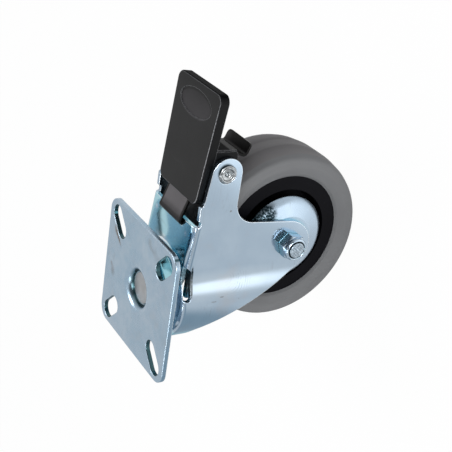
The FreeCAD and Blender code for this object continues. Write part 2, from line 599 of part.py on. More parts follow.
def makePedalPin():
    makeTurned("pedal_pin", [
        ("0", "-pinOuter + dimpleDepth"), ("dimpleRadius", "-pinOuter"), ("pinFace", "-pinOuter", "0.3"),
        ("pinFace", "-pinInner"), ("pivotRadius", "-pinInner"), ("pivotRadius", "pinInner"),
        ("pinFace", "pinInner"), ("pinFace", "pinOuter", "0.3"), ("dimpleRadius", "pinOuter"),
        ("0", "pinOuter - dimpleDepth")], "pivotX", "0", "pivotZ", "XY_Plane")


def hexagon(sketch):
    """Six corners about the sketch's origin, with two flats level."""
    half, side = "acrossFlats / 2", "acrossFlats / sqrt(12)"
    outline(sketch, [(side, "-" + half), ("2 * " + side, "0"), (side, half), ("-" + side, half),
                     ("-2 * " + side, "0"), ("-" + side, "-" + half)])


def makeAxle():
    bolt = newBody("axle_bolt", "axleOffset", "0", "axleZ")
    end = "-legHalf - nutHeight - threadProud"
    shank = newSketch(bolt, "Shank", "XY_Plane")
    outline(shank, [("0", end), ("boltRadius - 0.7", end), ("boltRadius", end + " + 0.7"),
                    ("boltRadius", "legHalf + 1"), ("0", "legHalf + 1")])
    spin("Revolution", bolt, shank)
    head = newSketch(bolt, "Head", "XZ_Plane", "-legHalf")
    hexagon(head)
    extrude("Pad", bolt, head, "headHeight", reverse=True)
    cone = newSketch(bolt, "HeadCrown", "XY_Plane")
    face = "legHalf + headHeight"
    outline(cone, [("acrossFlats / 2 - 0.2", face), ("acrossFlats / 2 + 2", face + " - 1.1"),
                   ("acrossFlats / 2 + 2", face + " + 1"), ("acrossFlats / 2 - 0.2", face + " + 1")])
    spin("Groove", bolt, cone)
    nut = newBody("axle_nut", "axleOffset", "-legHalf", "axleZ")
    block = newSketch(nut, "NutBlock", "XZ_Plane", turn=((0, 0, 1), "nutTurn"))
    hexagon(block)
    ring(block, "0", "0", "boltRadius")
    extrude("Pad", nut, block, "nutHex")
    cone = newSketch(nut, "NutCrown", "XY_Plane")
    outline(cone, [("acrossFlats / 2 - 0.2", "-nutHex - 1"), ("acrossFlats / 2 + 2", "-nutHex - 1"),
                   ("acrossFlats / 2 + 2", "-nutHex + 1.1"), ("acrossFlats / 2 - 0.2", "-nutHex")])
    spin("Groove", nut, cone)
    collar = newSketch(nut, "Collar", "XY_Plane")
    outline(collar, [("insertOuter", "-nutHex + 0.5"), ("insertOuter", "-nutHeight + 0.4"),
                     ("insertOuter - 0.6", "-nutHeight"), ("collarRadius - 0.2", "-nutHeight", "1"),
                     ("collarRadius - 0.2", "-nutHex + 0.5")])
    spin("Revolution", nut, collar)
    makeTurned("nut_insert", [("boltRadius", "-nutHeight + 0.45"), ("insertOuter", "-nutHeight + 0.45"),
                              ("insertOuter", "-nutHex"), ("boltRadius", "-nutHex")],
               "axleOffset", "-legHalf", "axleZ", "XY_Plane")
    makeTurned("centre_spacer", [("boltHole", "-bearingBack"), ("innerRaceRadius", "-bearingBack"),
                                 ("innerRaceRadius", "bearingBack"), ("boltHole", "bearingBack")],
               "axleOffset", "0", "axleZ", "XY_Plane")
    ringBody = makeTurned("AxleSpacer", [("boltHole", "-washerFace"), ("washerRadius", "-washerFace"),
                                         ("washerRadius", "-bearingFace"), ("boltHole", "-bearingFace")],
                          "axleOffset", "0", "axleZ", "XY_Plane")
    twin = doc.addObject("Part::Mirroring", "AxleSpacerTwin")
    twin.Source = ringBody
    twin.Normal = FreeCAD.Vector(0, 1, 0)
    both = doc.addObject("Part::Compound", "axle_spacers")
    both.Label = "axle_spacers"
    both.Links = [ringBody, twin]
    doc.recompute()


def makeWheel():
    where = ("axleOffset", "0", "axleZ", "XY_Plane")
    step = "outerRaceRadius + 0.4"
    makeTurned("wheel_core", [
        ("bearingRadius", "-hubHalf"), ("hubRadius", "-hubHalf", "0.6"), ("hubRadius", "-webHalf", "2"),
        ("rimRadius", "-webHalf", "2"), ("rimRadius + 0.6", "-coreHalf"), ("coreRadius", "-coreHalf"),
        ("coreRadius", "coreHalf"), ("rimRadius + 0.6", "coreHalf"), ("rimRadius", "webHalf", "2"),
        ("hubRadius", "webHalf", "2"), ("hubRadius", "hubHalf", "0.6"), ("bearingRadius", "hubHalf"),
        ("bearingRadius", "bearingBack"), (step, "bearingBack"), (step, "-bearingBack"),
        ("bearingRadius", "-bearingBack")], *where)
    edge = "wheelRadius - treadFall"
    makeTurned("tyre", [
        ("coreRadius", "-coreHalf - 0.2"), ("sideSwell", "-tyreHalf + 0.1", "5"),
        ("wheelRadius - treadFall - 1.5", "-tyreHalf + 0.4", "shoulderRound / 2"),
        (edge, "-treadHalf"), ("wheelRadius", "-treadHalf / 2", "shoulderRound"),
        ("wheelRadius", "treadHalf / 2", "shoulderRound"), (edge, "treadHalf"),
        ("wheelRadius - treadFall - 1.5", "tyreHalf - 0.4", "shoulderRound / 2"),
        ("sideSwell", "tyreHalf - 0.1", "5"), ("coreRadius", "coreHalf + 0.2")], *where)
    for label, flip in (("thread_guard_near", False), ("thread_guard_far", True)):
        makeTurned(label, [
            ("boltHole", "-legInner"), ("guardFlat", "-legInner", "0.6"),
            ("guardStep", "-legInner + guardSink", "1.2"),
            ("guardRadius - 2.8", "-legInner + guardDepth * 0.5", "6"), ("guardRadius", "-legInner + guardDepth"),
            ("guardRadius - guardThick", "-legInner + guardDepth"),
            ("guardRadius - 3.5", "-legInner + guardDepth * 0.5 + guardThick * 0.8", "5"),
            ("guardStep - 0.4", "-washerFace + guardSink", "0.6"), ("guardFlat - 0.4", "-washerFace", "0.8"),
            ("boltHole", "-washerFace")], *where, flip=flip)
    for side, sign in (("near", "-"), ("far", "")):
        makeBearing("bearing_" + side, sign + "bearingMiddle", side == "far")


def makeBearing(label, y, flip):
    where = ("axleOffset", y, "axleZ", "XY_Plane", flip)
    half = "bearingWidth / 2"
    inner = makeTurned(label + "_inner", [
        ("boltRadius + 0.01", "-" + half, "0.3"), ("innerRaceRadius", "-" + half), ("innerRaceRadius", half),
        ("boltRadius + 0.01", half, "0.3")], *where)
    lip = "innerRaceRadius + 0.25"
    outer = makeTurned(label + "_outer", [
        (lip, "-" + half), ("bearingRadius", "-" + half, "0.5"), ("bearingRadius", half, "0.5"), (lip, half),
        (lip, half + " - shieldThick"), ("outerRaceRadius", half + " - shieldThick"),
        ("outerRaceRadius", "-%s + shieldThick" % half), (lip, "-%s + shieldThick" % half)], *where)
    for body in (inner, outer):
        track = newSketch(body, body.Name + "Track", "XY_Plane")
        ring(track, "ballRing", "0", "wheelBallRadius + 0.02")
        spin("Groove", body, track)
    balls = ballCircle(label + "_balls", val("ballRing"), 0, val("wheelBallRadius"), 7, axle=True)
    balls.Placement = FreeCAD.Placement(FreeCAD.Vector(val("axleOffset"), val(y), val("axleZ")),
                                        FreeCAD.Rotation(FreeCAD.Vector(0, 0, 1), 180 if flip else 0))
    for letter, formula in (("x", "axleOffset"), ("y", y), ("z", "axleZ")):
        balls.setExpression("Placement.Base." + letter, bound(formula))
    cage = makeTurned(label + "_cage", [
        ("ballRing - 0.6", "0.5"), ("ballRing + 0.6", "0.5"), ("ballRing + 0.6", "bearingWidth / 2 - 0.55"),
        ("ballRing - 0.6", "bearingWidth / 2 - 0.55")], *where)
    seat = newSketch(cage, label + "CageSeat", "XZ_Plane")
    ring(seat, "ballRing", "0", "wheelBallRadius + 0.07")
    cut = extrude("Pocket", cage, seat, "wheelBallRadius + 0.07")
    repeat(cage, cut, seat, 7)


makeTopPlate()
makeSwivel()
makeFork()
makeStrip()
makePedal()
makePedalPin()
makeAxle()
makeWheel()
doc.recompute()

os.makedirs("parts", exist_ok=True)
faults = []
for item in doc.Objects:
    if "Invalid" in item.State or "Error" in item.State:
        faults.append("%s is %s" % (item.Name, item.State))
for item in doc.Objects:
    if not re.fullmatch(r"[a-z]+(_[a-z]+)+|tyre", item.Label):
        continue
    shape = item.Shape
    if shape.isNull() or not shape.isValid() or not shape.Solids:
        faults.append(item.Label + " has a bad shape")
        continue
    shape.exportStep("parts/%s.step" % item.Label)
    print(item.Label, len(shape.Solids), round(shape.Volume, 1))
if faults:
    raise RuntimeError("; ".join(faults))
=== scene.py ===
import bpy
import bmesh
import json
import math
import numpy as np
from mathutils import Matrix, Vector


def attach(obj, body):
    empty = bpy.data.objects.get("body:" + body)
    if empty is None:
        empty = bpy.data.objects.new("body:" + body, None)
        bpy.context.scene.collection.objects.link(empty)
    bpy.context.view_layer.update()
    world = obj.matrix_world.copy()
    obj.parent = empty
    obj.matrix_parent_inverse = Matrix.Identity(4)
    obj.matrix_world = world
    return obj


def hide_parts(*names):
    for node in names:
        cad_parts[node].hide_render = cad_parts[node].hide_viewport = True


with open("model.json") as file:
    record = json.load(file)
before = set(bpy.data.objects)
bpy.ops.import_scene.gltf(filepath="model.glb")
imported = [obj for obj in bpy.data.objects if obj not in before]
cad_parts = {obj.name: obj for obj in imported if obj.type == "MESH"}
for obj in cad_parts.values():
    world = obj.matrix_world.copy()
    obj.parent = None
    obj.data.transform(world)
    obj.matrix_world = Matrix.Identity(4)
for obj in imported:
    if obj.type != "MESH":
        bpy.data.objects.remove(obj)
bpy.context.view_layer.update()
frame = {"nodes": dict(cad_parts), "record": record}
nodes = frame["nodes"]
scene = bpy.context.scene
mm = 0.001
axle = (0.030, 0.0, -0.0775)    # where the wheel's axle crosses the middle plane
pivot = (0.0748, 0.0, -0.0311)    # the same for the pedal's pin
legFace = 24.2    # from the middle plane to a leg's outer face, in millimetres


# The camera stands where the photograph's camera stood, on the pedal side of the caster.
def placeCamera():
    view = {"place": (0.2579, -0.3951, 0.2135), "right": (0.1452, -0.4920, -0.8584),
            "up": (0.8914, 0.4415, -0.1023), "back": (0.4293, -0.7504, 0.5026), "lens": 76.34,
            "sensor": 36.0, "clip": (0.01, 20.0)}
    data = bpy.data.cameras.new("photoCamera")
    data.lens = view["lens"]
    data.sensor_width = view["sensor"]
    data.clip_start, data.clip_end = view["clip"]
    camera = bpy.data.objects.new("photoCamera", data)
    scene.collection.objects.link(camera)
    turn = Matrix((view["right"], view["up"], view["back"])).transposed().to_4x4()
    camera.matrix_world = Matrix.Translation(view["place"]) @ turn
    scene.camera = camera


# A square lamp that points at a place, and that the camera doesn't see.
def areaLamp(name, place, target, size, power):
    data = bpy.data.lights.new(name, "AREA")
    data.shape = "SQUARE"
    data.size = size
    data.energy = power
    lamp = bpy.data.objects.new(name, data)
    scene.collection.objects.link(lamp)
    lamp.location = place
    lamp.rotation_mode = "QUATERNION"
    lamp.rotation_quaternion = (Vector(target) - Vector(place)).to_track_quat("-Z", "Y")
    lamp.visible_camera = False


# One step of arithmetic on masks: each input is a number or another node's output.
def mathNode(tree, operation, first, second=None, clamp=False):
    node = tree.nodes.new("ShaderNodeMath")
    node.operation = operation
    node.use_clamp = clamp
    for socket, value in zip(node.inputs, (first, second)):
        if value is None:
            continue
        if isinstance(value, (int, float)):
            socket.default_value = value
        else:
            tree.links.new(value, socket)
    return node.outputs[0]


# Maps a mask to colours or values through a few stops, each a position and a colour.
def ramp(tree, source, stops, smooth=False):
    node = tree.nodes.new("ShaderNodeValToRGB")
    node.color_ramp.interpolation = "EASE" if smooth else "LINEAR"
    elements = node.color_ramp.elements
    while len(elements) < len(stops):
        elements.new(0.5)
    for element, (position, colour) in zip(elements, stops):
        element.position = position
        element.color = (*colour, 1)
    tree.links.new(source, node.inputs["Fac"])
    return node.outputs["Color"]


# Mixes two colours, or multiplies them, by a share. Each is a plain value or a node's output.
def colourMix(tree, share, first, second, kind="MIX"):
    mix = tree.nodes.new("ShaderNodeMix")
    mix.data_type = "RGBA"
    mix.blend_type = kind
    for socket, value in ((mix.inputs[0], share), (mix.inputs[6], first), (mix.inputs[7], second)):
        if isinstance(value, bpy.types.NodeSocket):
            tree.links.new(value, socket)
        elif isinstance(value, (int, float)):
            socket.default_value = value
        else:
            socket.default_value = (*value, 1)
    return mix.outputs[2]


# One axis of a vector: 0 is X, 1 is Y and 2 is Z.
def axisOf(tree, vector, axis):
    split = tree.nodes.new("ShaderNodeSeparateXYZ")
    tree.links.new(vector, split.inputs["Vector"])
    return split.outputs[axis]


def grey(value):
    return (value, value, value)


# A straight rise or fall between two positions: from the first value to the second.
def slope(tree, source, start, end, first=0.0, second=1.0, smooth=False):
    return ramp(tree, source, [(start, grey(first)), (end, grey(second))], smooth)


# The second shader where the share is 1, and the first where it is 0.
def shaderMix(tree, share, first, second):
    mix = tree.nodes.new("ShaderNodeMixShader")
    tree.links.new(share, mix.inputs[0])
    tree.links.new(first, mix.inputs[1])
    tree.links.new(second, mix.inputs[2])
    return mix.outputs[0]


# The rays that a shiny or a clear surface sends on.
def mirrorRays(tree, path):
    return mathNode(tree, "ADD", path["Is Glossy Ray"], path["Is Transmission Ray"], True)


# An even world: white to the camera, and to the metal white walls with a dark room on the camera's side.
def makeWorld():
    sky = {"ambient": (0.90, 0.95, 1.0), "ambientStrength": 0.45, "roomSide": (0.43, -0.75, 0.50),
           "wallsEnd": 0.60, "roomStart": 0.90, "wallGlow": 0.80, "roomGlow": 0.14}
    world = bpy.data.worlds.new("studioWorld")
    scene.world = world
    world.use_nodes = True
    tree = world.node_tree
    tree.nodes.clear()
    path = tree.nodes.new("ShaderNodeLightPath").outputs
    coords = tree.nodes.new("ShaderNodeTexCoord")
    toward = tree.nodes.new("ShaderNodeVectorMath")
    toward.operation = "DOT_PRODUCT"
    toward.inputs[1].default_value = sky["roomSide"]
    tree.links.new(coords.outputs["Generated"], toward.inputs[0])
    soft, walls, white = [tree.nodes.new("ShaderNodeBackground") for _ in range(3)]
    soft.inputs["Color"].default_value = (*sky["ambient"], 1)
    soft.inputs["Strength"].default_value = sky["ambientStrength"]
    glow = slope(tree, toward.outputs["Value"], sky["wallsEnd"], sky["roomStart"], sky["wallGlow"],
                 sky["roomGlow"], smooth=True)
    tree.links.new(glow, walls.inputs["Color"])
    white.inputs["Color"].default_value = (1, 1, 1, 1)
    seen = shaderMix(tree, mirrorRays(tree, path), soft.outputs[0], walls.outputs[0])
    seen = shaderMix(tree, path["Is Camera Ray"], seen, white.outputs[0])
    tree.links.new(seen, tree.nodes.new("ShaderNodeOutputWorld").inputs["Surface"])


# The floor's shader: almost white to the camera, so that it keeps a little of the shadow, matt to the
# light, and to the metal a bright soft card that is bluer under the heel of the fork.
def paintFloor(height):
    floor = {"colour": (0.84, 0.84, 0.84), "whiteShare": 0.97, "cardPlace": (0.060, -0.165),
             "cardSize": (0.078, 0.19), "cardCore": 0.40, "cardGlow": 1.75, "glow": 0.92,
             "heelColour": (0.44, 0.54, 0.60), "heelShift": 0.5, "heelStart": 0.32, "heelEnd": 0.42}
    paint = bpy.data.materials.new("floorPaint")
    paint.use_nodes = True
    tree = paint.node_tree
    tree.nodes.clear()
    path = tree.nodes.new("ShaderNodeLightPath").outputs
    matt = tree.nodes.new("ShaderNodeBsdfDiffuse")
    matt.inputs["Color"].default_value = (*floor["colour"], 1)
    white, card = [tree.nodes.new("ShaderNodeEmission") for _ in range(2)]
    coords = tree.nodes.new("ShaderNodeTexCoord")
    place = tree.nodes.new("ShaderNodeMapping")
    place.vector_type = "TEXTURE"
    place.inputs["Location"].default_value = (*floor["cardPlace"], height)
    place.inputs["Scale"].default_value = (*floor["cardSize"], 1)
    away = tree.nodes.new("ShaderNodeVectorMath")
    away.operation = "LENGTH"
    tree.links.new(coords.outputs["Object"], place.inputs["Vector"])
    tree.links.new(place.outputs["Vector"], away.inputs[0])
    glow = slope(tree, away.outputs["Value"], floor["cardCore"], 1.0, floor["cardGlow"], floor["glow"],
                 smooth=True)
    heel = mathNode(tree, "ADD", axisOf(tree, coords.outputs["Object"], 0), floor["heelShift"])
    heel = ramp(tree, heel, [(floor["heelStart"], floor["heelColour"]), (floor["heelEnd"], grey(1))],
                smooth=True)
    tree.links.new(colourMix(tree, 1.0, glow, heel, "MULTIPLY"), card.inputs["Color"])
    seen = shaderMix(tree, mathNode(tree, "MULTIPLY", path["Is Camera Ray"], floor["whiteShare"]),
                     matt.outputs[0], white.outputs[0])
    seen = shaderMix(tree, mirrorRays(tree, path), seen, card.outputs[0])
    tree.links.new(seen, tree.nodes.new("ShaderNodeOutputMaterial").inputs["Surface"])
    return paint


# Three lamps, the world, and a pale floor just under the wheel.
def lightStudio():
    studio = {"middle": (0.03, 0, -0.05), "floorHeight": -0.1279, "floorSize": 6.0,
              "lamps": {"keyLamp": ((0.22, -0.92, 0.16), 0.42, 5.6),
                        "fillLamp": ((-0.46, -0.62, 0.72), 0.36, 2.6),
                        "topLamp": ((0.25, 0.45, 1.0), 0.6, 5.0)}}
    for name, (place, size, power) in studio["lamps"].items():
        areaLamp(name, place, studio["middle"], size, power)
    makeWorld()
    half, z = studio["floorSize"] / 2, studio["floorHeight"]
    mesh = bpy.data.meshes.new("floor")
    mesh.from_pydata([(-half, -half, z), (half, -half, z), (half, half, z), (-half, half, z)], [],
                     [(0, 1, 2, 3)])
    mesh.materials.append(paintFloor(z))
    floor = bpy.data.objects.new("floor", mesh)
    scene.collection.objects.link(floor)


# A Principled material whose even values are set on the shader itself.
def startMaterial(name, colour, metallic=0.0, roughness=0.5, **extra):
    material = bpy.data.materials.new(name)
    material.use_nodes = True
    tree = material.node_tree
    shader = tree.nodes["Principled BSDF"]
    shader.inputs["Base Color"].default_value = (*colour, 1)
    shader.inputs["Metallic"].default_value = metallic
    shader.inputs["Roughness"].default_value = roughness
    for socket, value in extra.items():
        shader.inputs[socket.replace("_", " ")].default_value = value
    coords = tree.nodes.new("ShaderNodeTexCoord")
    return material, tree, shader, coords.outputs["Object"]


# Names a group's inputs and outputs, each with its kind.
def groupSockets(tree, takes, gives):
    for name, kind in takes:
        tree.interface.new_socket(name, in_out="INPUT", socket_type="NodeSocket" + kind)
    for name, kind in gives:
        tree.interface.new_socket(name, in_out="OUTPUT", socket_type="NodeSocket" + kind)
    return tree.nodes.new("NodeGroupInput").outputs, tree.nodes.new("NodeGroupOutput").inputs


# Fine and coarse noise give two masks, and the fine one also tilts the normal by its height.
def grainGroup():
    tree = bpy.data.node_groups.new("surfaceGrain", "ShaderNodeTree")
    take, give = groupSockets(
        tree, (("Place", "Vector"), ("Fine Scale", "Float"), ("Coarse Scale", "Float"), ("Height", "Float"),
               ("Normal", "Vector")),
        (("Fine", "Float"), ("Coarse", "Float"), ("Normal", "Vector")))
    fine, coarse = [tree.nodes.new("ShaderNodeTexNoise") for _ in range(2)]
    bump = tree.nodes.new("ShaderNodeBump")
    for noise, scale, detail in ((fine, "Fine Scale", 3.0), (coarse, "Coarse Scale", 5.0)):
        noise.inputs["Detail"].default_value = detail
        tree.links.new(take["Place"], noise.inputs["Vector"])
        tree.links.new(take[scale], noise.inputs["Scale"])
    tree.links.new(fine.outputs["Fac"], bump.inputs["Height"])
    tree.links.new(take["Height"], bump.inputs["Distance"])
    tree.links.new(take["Normal"], bump.inputs["Normal"])
    tree.links.new(fine.outputs["Fac"], give["Fine"])
    tree.links.new(coarse.outputs["Fac"], give["Coarse"])
    tree.links.new(bump.outputs["Normal"], give["Normal"])
    return tree


# Edges are found where a rounded normal leaves the true one, and recesses where the sky is hidden.
def edgeGroup():
    tree = bpy.data.node_groups.new("edgesAndRecesses", "ShaderNodeTree")
    take, give = groupSockets(tree, (("Radius", "Float"), ("Gain", "Float"), ("Depth", "Float")),
                              (("Edge", "Float"), ("Recess", "Float"), ("Normal", "Vector")))
    bevel = tree.nodes.new("ShaderNodeBevel")
    bevel.samples = 6
    hidden = tree.nodes.new("ShaderNodeAmbientOcclusion")
    hidden.samples = 8
    hidden.only_local = False
    face = tree.nodes.new("ShaderNodeNewGeometry")
    dot = tree.nodes.new("ShaderNodeVectorMath")
    dot.operation = "DOT_PRODUCT"
    tree.links.new(take["Radius"], bevel.inputs["Radius"])
    tree.links.new(take["Depth"], hidden.inputs["Distance"])
    tree.links.new(bevel.outputs["Normal"], dot.inputs[0])
    tree.links.new(face.outputs["Normal"], dot.inputs[1])
    lost = mathNode(tree, "SUBTRACT", 1.0, dot.outputs["Value"], True)
    tree.links.new(mathNode(tree, "MULTIPLY", lost, take["Gain"], True), give["Edge"])
    tree.links.new(mathNode(tree, "SUBTRACT", 1.0, hidden.outputs["AO"], True), give["Recess"])
    tree.links.new(bevel.outputs["Normal"], give["Normal"])
    return tree


# Scratches: thin lines where a stretched noise crosses its middle, turned by an angle and kept to the
# places where a coarse noise is high.
def scratchGroup():
    scratch = {"stretch": (25, 25, 420), "patchScale": 45, "patchStart": 0.52, "patchFull": 0.66}
    tree = bpy.data.node_groups.new("fineScratches", "ShaderNodeTree")
    take, give = groupSockets(tree, (("Place", "Vector"), ("Turn", "Vector"), ("Width", "Float")),
                              (("Line", "Float"),))
    stretched = tree.nodes.new("ShaderNodeMapping")
    stretched.inputs["Scale"].default_value = scratch["stretch"]
    tree.links.new(take["Place"], stretched.inputs["Vector"])
    tree.links.new(take["Turn"], stretched.inputs["Rotation"])
    lines, patch = [tree.nodes.new("ShaderNodeTexNoise") for _ in range(2)]
    lines.inputs["Scale"].default_value = 1.0
    lines.inputs["Detail"].default_value = 1.0
    patch.inputs["Scale"].default_value = scratch["patchScale"]
    tree.links.new(stretched.outputs["Vector"], lines.inputs["Vector"])
    tree.links.new(take["Place"], patch.inputs["Vector"])
    off = mathNode(tree, "ABSOLUTE", mathNode(tree, "SUBTRACT", lines.outputs["Fac"], 0.5))
    thin = mathNode(tree, "SUBTRACT", 1.0, mathNode(tree, "DIVIDE", off, take["Width"]), True)
    some = slope(tree, patch.outputs["Fac"], scratch["patchStart"], scratch["patchFull"])
    tree.links.new(mathNode(tree, "MULTIPLY", thin, some), give["Line"])
    return tree


grain, edges, scratches = grainGroup(), edgeGroup(), scratchGroup()


# Places a group in a material and gives its inputs by name, with _ for a space.
def useGroup(tree, group, **values):
    node = tree.nodes.new("ShaderNodeGroup")
    node.node_tree = group
    for name, value in values.items():
        socket = node.inputs[name.replace("_", " ")]
        if isinstance(value, bpy.types.NodeSocket):
            tree.links.new(value, socket)
        else:
            socket.default_value = value
    return node.outputs


# The surface's own direction in the piece's coordinates, so that it stays right when the piece turns.
def ownNormal(tree):
    turn = tree.nodes.new("ShaderNodeVectorTransform")
    turn.vector_type = "NORMAL"
    turn.convert_from, turn.convert_to = "WORLD", "OBJECT"
    tree.links.new(tree.nodes.new("ShaderNodeNewGeometry").outputs["Normal"], turn.inputs[0])
    return turn.outputs[0]


# A round or oval mark about a place: full inside, fading out at its rim.
def spot(tree, place, centre, reach, soft=0.5, turn=0.0):
    centred = tree.nodes.new("ShaderNodeMapping")
    centred.vector_type = "TEXTURE"
    centred.inputs["Location"].default_value = centre
    centred.inputs["Rotation"].default_value = (0, 0, turn)
    centred.inputs["Scale"].default_value = reach
    tree.links.new(place, centred.inputs["Vector"])
    away = tree.nodes.new("ShaderNodeVectorMath")
    away.operation = "LENGTH"
    tree.links.new(centred.outputs["Vector"], away.inputs[0])
    return slope(tree, away.outputs["Value"], 1 - soft, 1.0, 1, 0)


# Blue passivated zinc: pale where it lies open, with painted shade tinted teal in recesses and darker deeper
# in, edges painted pale as wear and painted highlight, faint warm patches and fine scratches. Marks are
# (centre, reach, turn, strength, kind): wear-and-highlight and deep-shade ones are smooth, the others ragged,
# and deep-shade and painted-dark ones are dull too. A mask can hold the painted recess shade to the inside,
# and edges stay plain within the calm places.
def zincFinish(name, marks=(), tealShare=0.9, roughness=0.15, held=None, calm=()):
    zinc = {"pale": (0.385, 0.485, 0.585), "high": (0.425, 0.525, 0.62), "warm": (0.405, 0.470, 0.540),
            "teal": (0.10, 0.50, 0.60), "wearAndHighlight": (0.85, 0.91, 0.95), "brown": (0.16, 0.115, 0.085),
            "deepShade": (0.012, 0.024, 0.030), "paintedDark": (0.012, 0.024, 0.030), "scratch": (0.26, 0.29, 0.31),
            "inner": (1.08, 1.40, 1.32), "recessShade": (0.030, 0.095, 0.100), "shade": (0.090, 0.165, 0.205),
            "edgeRadius": 0.0006, "edgeGain": 7.0, "recessDepth": 0.012, "recessShadeShare": 0.85,
            "fineScale": 900, "coarseScale": 55, "grainHeight": 0.0000022, "speckScale": 95,
            "scratchTurn": (0.3, 0.9, 0.4), "scratchWidth": 0.012, "dull": 0.55}
    material, tree, shader, place = startMaterial(name, zinc["pale"], 1.0, roughness)
    look = useGroup(tree, edges, Radius=zinc["edgeRadius"], Gain=zinc["edgeGain"], Depth=zinc["recessDepth"])
    skin = useGroup(tree, grain, Place=place, Fine_Scale=zinc["fineScale"],
                    Coarse_Scale=zinc["coarseScale"], Height=zinc["grainHeight"], Normal=look["Normal"])
    colour = ramp(tree, skin["Coarse"], [(0.30, zinc["warm"]), (0.43, zinc["pale"]), (0.70, zinc["high"])])
    lines = useGroup(tree, scratches, Place=place, Turn=zinc["scratchTurn"], Width=zinc["scratchWidth"])
    colour = colourMix(tree, mathNode(tree, "MULTIPLY", lines["Line"], 0.5), colour, zinc["scratch"])
    # Painted shade in recesses, tinted teal, and darker still deep in them.
    hidden = slope(tree, look["Recess"], 0.22, 0.62, 0, tealShare)
    recessShade = slope(tree, look["Recess"], 0.62, 0.92, 0, zinc["recessShadeShare"] * tealShare)
    if held:
        inner = held(tree, place)
        hidden = mathNode(tree, "MULTIPLY", hidden, inner)
        recessShade = mathNode(tree, "MULTIPLY", recessShade, inner)
        colour = colourMix(tree, 1.0, colour, colourMix(tree, inner, grey(1), zinc["inner"]), "MULTIPLY")
    colour = colourMix(tree, hidden, colour, zinc["teal"])
    colour = colourMix(tree, recessShade, colour, zinc["recessShade"])
    # Edges are painted pale as wear and painted highlight, except in the calm places.
    edge = look["Edge"]
    for centre, reach in calm:
        outside = mathNode(tree, "SUBTRACT", 1.0, spot(tree, place, centre, reach, 0.2))
        edge = mathNode(tree, "MULTIPLY", edge, outside)
    colour = colourMix(tree, edge, colour, zinc["wearAndHighlight"])
    specks = tree.nodes.new("ShaderNodeTexVoronoi")
    specks.inputs["Scale"].default_value = zinc["speckScale"]
    tree.links.new(place, specks.inputs["Vector"])
    dots = slope(tree, specks.outputs["Distance"], 0.03, 0.05, 0.45, 0)
    colour = colourMix(tree, dots, colour, zinc["scratch"])
    gloss = slope(tree, skin["Coarse"], 0.30, 0.65, roughness * 1.5, roughness * 0.9)
    for centre, reach, turn, strength, kind in marks:
        mark = spot(tree, place, centre, reach, 0.8 if kind in ("brown", "wearAndHighlight") else 0.25, turn)
        if kind not in ("wearAndHighlight", "deepShade"):
            mark = mathNode(tree, "MULTIPLY", mark, slope(tree, skin["Fine"], 0.35, 0.6, 0.45, 1))
        share = mathNode(tree, "MULTIPLY", mark, strength, True)
        colour = colourMix(tree, share, colour, zinc[kind])
        if kind in ("deepShade", "paintedDark"):
            gloss = colourMix(tree, mathNode(tree, "MULTIPLY", mark, 1.0, True), gloss, grey(zinc["dull"]))
    if held:
        colour = swirl(tree, place, colour)
    tree.links.new(colour, shader.inputs["Base Color"])
    tree.links.new(gloss, shader.inputs["Roughness"])
    tree.links.new(skin["Normal"], shader.inputs["Normal"])
    return material


# Fine arcs left by the press where the leg runs into the round head: thin rings about one place, shown
# only to one side of it and broken by a noise.
def swirl(tree, place, colour):
    arcs = {"centre": (0.0135, -0.0248, -0.0405), "shown": (0.0118, -0.0248, -0.0478),
            "reach": (0.0070, 0.010, 0.0090), "dark": (0.72, 0.75, 0.78), "scale": 210, "wander": 5,
            "wanderDetail": 0.5, "breakScale": 260}
    rings = tree.nodes.new("ShaderNodeTexWave")
    rings.wave_type, rings.rings_direction = "RINGS", "SPHERICAL"
    rings.inputs["Scale"].default_value = arcs["scale"]
    rings.inputs["Distortion"].default_value = arcs["wander"]
    rings.inputs["Detail Scale"].default_value = arcs["wanderDetail"]
    moved = tree.nodes.new("ShaderNodeVectorMath")
    moved.operation = "SUBTRACT"
    moved.inputs[1].default_value = arcs["centre"]
    tree.links.new(place, moved.inputs[0])
    tree.links.new(moved.outputs[0], rings.inputs["Vector"])
    broken = tree.nodes.new("ShaderNodeTexNoise")
    broken.inputs["Scale"].default_value = arcs["breakScale"]
    tree.links.new(place, broken.inputs["Vector"])
    thin = mathNode(tree, "MULTIPLY", slope(tree, rings.outputs["Fac"], 0.0, 0.22, 1, 0),
                    slope(tree, broken.outputs["Fac"], 0.36, 0.50))
    share = mathNode(tree, "MULTIPLY", thin, spot(tree, place, arcs["shown"], arcs["reach"], 0.6))
    return colourMix(tree, share, colour, colourMix(tree, 1.0, colour, arcs["dark"], "MULTIPLY"))


# Inside its legs the fork gets a teal tint and the painted recess shade, standing for its shaded teal
# reflections: the mask is 1 up to 20.5 mm from the middle plane and 0 from 22.3 mm.
def insideLegs(tree, place):
    away = mathNode(tree, "MULTIPLY", mathNode(tree, "ABSOLUTE", axisOf(tree, place, 1)), 20)
    return slope(tree, away, 0.410, 0.446, 1, 0)


# The plate's slots get painted shade on their walls: upright faces that lie less than 37 mm from its middle
# along X and Y.
def plateWalls(tree, place):
    flat = mathNode(tree, "ABSOLUTE", axisOf(tree, ownNormal(tree), 2))
    upright = slope(tree, flat, 0.3, 0.8, 1, 0)
    reach = mathNode(tree, "MAXIMUM", mathNode(tree, "ABSOLUTE", axisOf(tree, place, 0)),
                     mathNode(tree, "ABSOLUTE", axisOf(tree, place, 1)))
    within = slope(tree, mathNode(tree, "MULTIPLY", reach, 20), 0.735, 0.745, 1, 0)
    return mathNode(tree, "MULTIPLY", upright, within)
